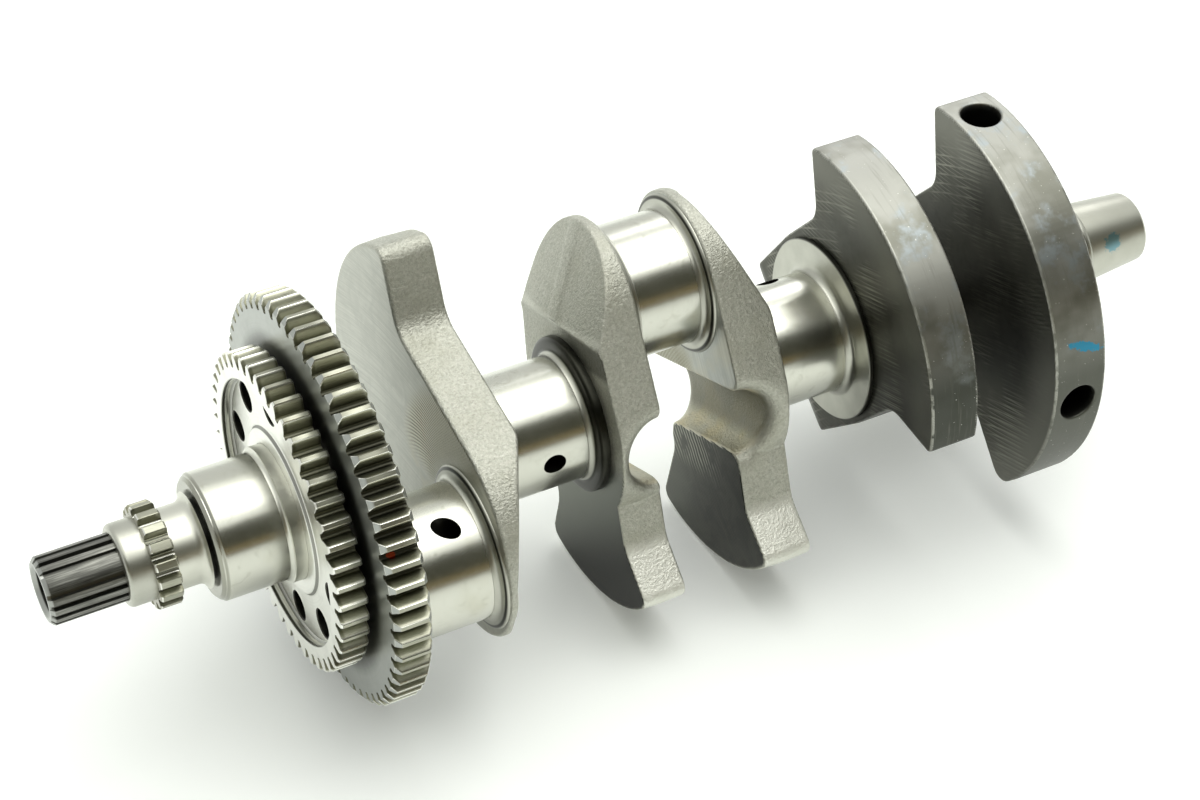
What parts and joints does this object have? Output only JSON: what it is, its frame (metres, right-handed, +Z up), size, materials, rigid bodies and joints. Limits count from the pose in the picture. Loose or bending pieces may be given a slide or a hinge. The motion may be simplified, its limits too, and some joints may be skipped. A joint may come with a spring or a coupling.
{
  "type": "crankshaft",
  "caption": "Forged plain-bearing crankshaft of an inline triple: splined nose, sprocket and gears, journals, crankpins and counterweighted webs, rotor taper.",
  "frame": {"origin": "on the crank axis, at the middle of the first main journal", "axes": "+X along the crank from the splined nose to the rotor taper; +Z up as the crank lies"},
  "size_m": [0.3634, 0.1298, 0.1268],
  "materials": {
    "ground_steel": "ground and polished bearing steel",
    "forged_steel": "shot-blasted forging with milled faces",
    "machined_steel": "milled steel, oil-darkened",
    "gear_steel": "hobbed and hardened gear steel",
    "dark_steel": "dark hardened steel",
    "turned_steel": "turned steel"
  },
  "bodies": {
    "root": {"splined_nose": "dark_steel", "nose_collar": "turned_steel", "timing_sprocket": "gear_steel", "nose_neck": "turned_steel", "main_journal_1": "ground_steel", "gear_seat": "ground_steel", "balancer_gear": "gear_steel", "gear_split_ring": "turned_steel", "gear_shoulder": "dark_steel", "primary_drive_gear": "gear_steel", "crankpin_1": "ground_steel", "web_2": "forged_steel", "main_journal_2": "ground_steel", "web_3": "forged_steel", "crankpin_2": "ground_steel", "web_4": "forged_steel", "main_journal_3": "ground_steel", "thrust_ring": "ground_steel", "web_5": "machined_steel", "crankpin_3": "ground_steel", "web_6": "machined_steel", "main_journal_4": "ground_steel", "rear_shoulder": "turned_steel", "rotor_taper": "turned_steel"}
  },
  "joints": []
}
